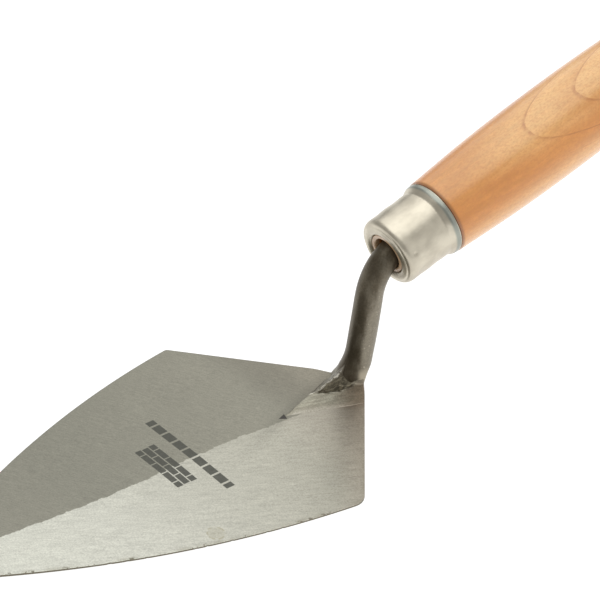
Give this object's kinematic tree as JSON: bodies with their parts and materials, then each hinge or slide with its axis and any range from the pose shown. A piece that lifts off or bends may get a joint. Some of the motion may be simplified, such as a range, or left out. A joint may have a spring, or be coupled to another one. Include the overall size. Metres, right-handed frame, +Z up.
{
  "type": "brick trowel",
  "caption": "Small steel brick trowel with a leaf-shaped blade, a cranked round tang, a pressed ferrule and a turned wooden handle, for laying and pointing mortar.",
  "frame": {"origin": "on the flat underside of the blade, in the middle of the line between its two shoulders, which is where the blade is widest", "axes": "+X runs from the tip of the blade to the butt of the handle, +Y runs across the blade, and +Z points up from the underside"},
  "size_m": [0.2724, 0.0832, 0.0861],
  "materials": {
    "ground_steel": "satin, ground across its width",
    "forged_steel": "dark forge scale, slightly glossy",
    "weld_steel": "coarsely ground, with some heat tint",
    "ferrule_steel": "bright plating on slightly uneven pressed steel",
    "varnished_wood": "satin varnish on light brown hardwood"
  },
  "bodies": {
    "root": {"blade": "ground_steel", "tang": "forged_steel", "tang_weld": "weld_steel", "ferrule": "ferrule_steel", "handle": "varnished_wood"}
  },
  "joints": []
}
